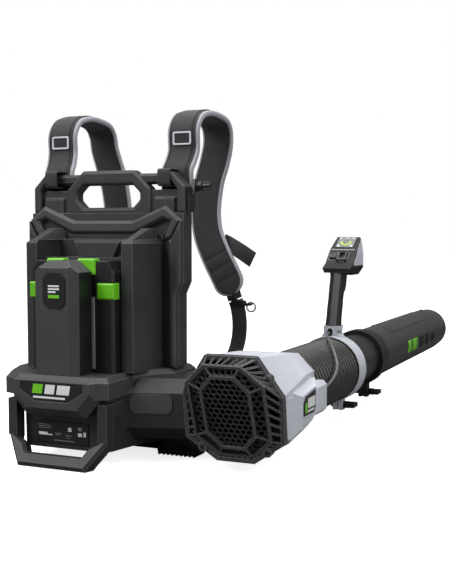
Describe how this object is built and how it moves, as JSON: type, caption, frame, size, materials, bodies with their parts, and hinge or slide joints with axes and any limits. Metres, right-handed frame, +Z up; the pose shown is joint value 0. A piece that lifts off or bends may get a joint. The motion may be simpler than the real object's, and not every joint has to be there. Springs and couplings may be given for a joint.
{
  "type": "backpack leaf blower",
  "caption": "Battery backpack leaf blower: padded harness on a back frame, battery bay, side-mounted axial fan, bellows hose, blow tube with trigger handle and sliding nozzle.",
  "frame": {"origin": "on the floor, under the middle of the backpack, at the underside of the middle rubber pad", "axes": "+X to the operator's right, +Y the way the air leaves the nozzle, +Z up"},
  "size_m": [0.6156, 1.5336, 0.629],
  "materials": {
    "charcoal_plastic": "moulded, fine grain",
    "black_plastic": "moulded, fine grain",
    "light_plastic": "moulded, satin",
    "green_plastic": "moulded, satin gloss",
    "label_plastic": "smooth",
    "display_plastic": "polished",
    "soft_rubber": "moulded",
    "hose_rubber": "blow-moulded, satin",
    "grip_rubber": "overmoulded, matt",
    "cable_sheath": "extruded, satin",
    "padded_fabric": "padded mesh with piped edges",
    "webbing": "woven",
    "steel": "plated",
    "motor_steel": "painted",
    "aluminium": "cast, plain"
  },
  "bodies": {
    "backpack": {"arm_housing": "charcoal_plastic", "back_frame": "charcoal_plastic", "back_pads": "padded_fabric", "base_deck": "charcoal_plastic", "base_housing": "charcoal_plastic", "battery_column": "charcoal_plastic", "bellows_rear": "hose_rubber", "bumper_loop": "charcoal_plastic", "cable_box": "light_plastic", "carry_handle": "charcoal_plastic", "centre_panel": "charcoal_plastic", "chest_strap": "webbing", "control_cable_rear": "cable_sheath", "controller_board": "aluminium", "dock_terminals": "black_plastic", "fan_shell_lower": "light_plastic", "fan_shell_upper": "light_plastic", "frame_hood": "charcoal_plastic", "guard_frame": "black_plastic", "guard_mesh": "black_plastic", "housing_screws": "steel", "motor": "motor_steel", "motor_mount": "aluminium", "name_plates": "label_plastic", "rubber_feet": "soft_rubber", "shoulder_strap_left": "padded_fabric", "shoulder_strap_right": "padded_fabric", "side_bracket": "black_plastic", "side_rail_left": "charcoal_plastic", "side_rail_right": "charcoal_plastic", "strap_bars": "charcoal_plastic", "strap_sliders": "black_plastic", "strap_webbing": "webbing"},
    "battery_left": {"battery_left": "charcoal_plastic", "cells_left": "aluminium"},
    "battery_right": {"battery_right": "charcoal_plastic", "cells_right": "aluminium"},
    "release_left": {"release_left": "green_plastic"},
    "release_right": {"release_right": "green_plastic"},
    "latch_left": {"latch_left": "green_plastic"},
    "latch_right": {"latch_right": "green_plastic"},
    "impeller": {"impeller": "black_plastic"},
    "hose_ring": {"bellows_centre": "hose_rubber"},
    "handle": {"bellows_front": "hose_rubber", "clamp_ring": "light_plastic", "handle_grip": "grip_rubber", "head_shell": "black_plastic", "head_cover": "light_plastic", "display_panel": "display_plastic", "control_cable_front": "cable_sheath"},
    "tube": {"blow_tube": "black_plastic"},
    "nozzle": {"nozzle": "charcoal_plastic", "nozzle_collar": "black_plastic"},
    "clamp_screw": {"clamp_screw": "black_plastic"},
    "collar_screw": {"collar_screw": "black_plastic"},
    "trigger": {"trigger": "black_plastic"},
    "cruise_lever": {"cruise_lever": "black_plastic"},
    "power_button": {"power_button": "black_plastic"},
    "d_ring_left": {"d_ring_left": "steel"},
    "d_ring_right": {"d_ring_right": "steel"}
  },
  "joints": [
    {"name": "battery_left_lift", "type": "slide", "parent": "backpack", "child": "battery_left", "axis": [0, 0, 1], "range_m": [0, 0.25]},
    {"name": "release_left_press", "type": "slide", "parent": "battery_left", "child": "release_left", "axis": [0, 1, 0], "range_m": [0, 0.003], "stiffness_N_per_m": 400, "springref_m": -0.001},
    {"name": "latch_left_press", "type": "slide", "parent": "battery_left", "child": "latch_left", "axis": [0, 0, -1], "range_m": [0, 0.0025], "stiffness_N_per_m": 400, "springref_m": -0.001},
    {"name": "d_ring_left_swing", "type": "hinge", "parent": "backpack", "child": "d_ring_left", "pos_m": [-0.205, 0.198, 0.259], "axis": [0, 1, 0], "range_deg": [-5, 40]},
    {"name": "battery_right_lift", "type": "slide", "parent": "backpack", "child": "battery_right", "axis": [0, 0, 1], "range_m": [0, 0.25]},
    {"name": "release_right_press", "type": "slide", "parent": "battery_right", "child": "release_right", "axis": [0, 1, 0], "range_m": [0, 0.003], "stiffness_N_per_m": 400, "springref_m": -0.001},
    {"name": "latch_right_press", "type": "slide", "parent": "battery_right", "child": "latch_right", "axis": [0, 0, -1], "range_m": [0, 0.0025], "stiffness_N_per_m": 400, "springref_m": -0.001},
    {"name": "d_ring_right_swing", "type": "hinge", "parent": "backpack", "child": "d_ring_right", "pos_m": [0.205, 0.198, 0.259], "axis": [0, 1, 0], "range_deg": [-40, 5]},
    {"name": "impeller_spin", "type": "hinge", "parent": "backpack", "child": "impeller", "pos_m": [0.3, 0, 0.11], "axis": [0, 1, 0], "continuous": true},
    {"name": "hose_pan", "type": "hinge", "parent": "backpack", "child": "hose_ring", "pos_m": [0.3, 0.256, 0.11], "axis": [0, 0, 1], "range_deg": [-15, 15], "deforming": ["bellows_rear", "control_cable_rear"]},
    {"name": "hose_tilt", "type": "hinge", "parent": "hose_ring", "child": "handle", "pos_m": [0.3, 0.256, 0.11], "axis": [1, 0, 0], "range_deg": [-15, 15], "deforming": ["bellows_front", "control_cable_front"]},
    {"name": "tube_turn", "type": "hinge", "parent": "handle", "child": "tube", "pos_m": [0.3, 0.425, 0.11], "axis": [0, 1, 0], "range_deg": [-20, 20]},
    {"name": "nozzle_slide", "type": "slide", "parent": "tube", "child": "nozzle", "axis": [0, 1, 0], "range_m": [0, 0.1]},
    {"name": "clamp_screw_turn", "type": "hinge", "parent": "handle", "child": "clamp_screw", "pos_m": [0.314, 0.425, 0.033], "axis": [1, 0, 0], "continuous": true},
    {"name": "collar_screw_turn", "type": "hinge", "parent": "nozzle", "child": "collar_screw", "pos_m": [0.314, 0.615, 0.032], "axis": [1, 0, 0], "continuous": true},
    {"name": "trigger_pull", "type": "hinge", "parent": "handle", "child": "trigger", "pos_m": [0.3, 0.491, 0.312], "axis": [-1, 0, 0], "range_deg": [0, 12], "stiffness_Nm_per_rad": 0.15, "springref_deg": -5.73},
    {"name": "cruise_turn", "type": "hinge", "parent": "handle", "child": "cruise_lever", "pos_m": [0.303, 0.4866, 0.3541], "axis": [-1, 0, 0], "range_deg": [0, 40]},
    {"name": "power_press", "type": "slide", "parent": "handle", "child": "power_button", "axis": [0, 0.6848, -0.7288], "range_m": [0, 0.002], "stiffness_N_per_m": 300, "springref_m": -0.0005}
  ]
}
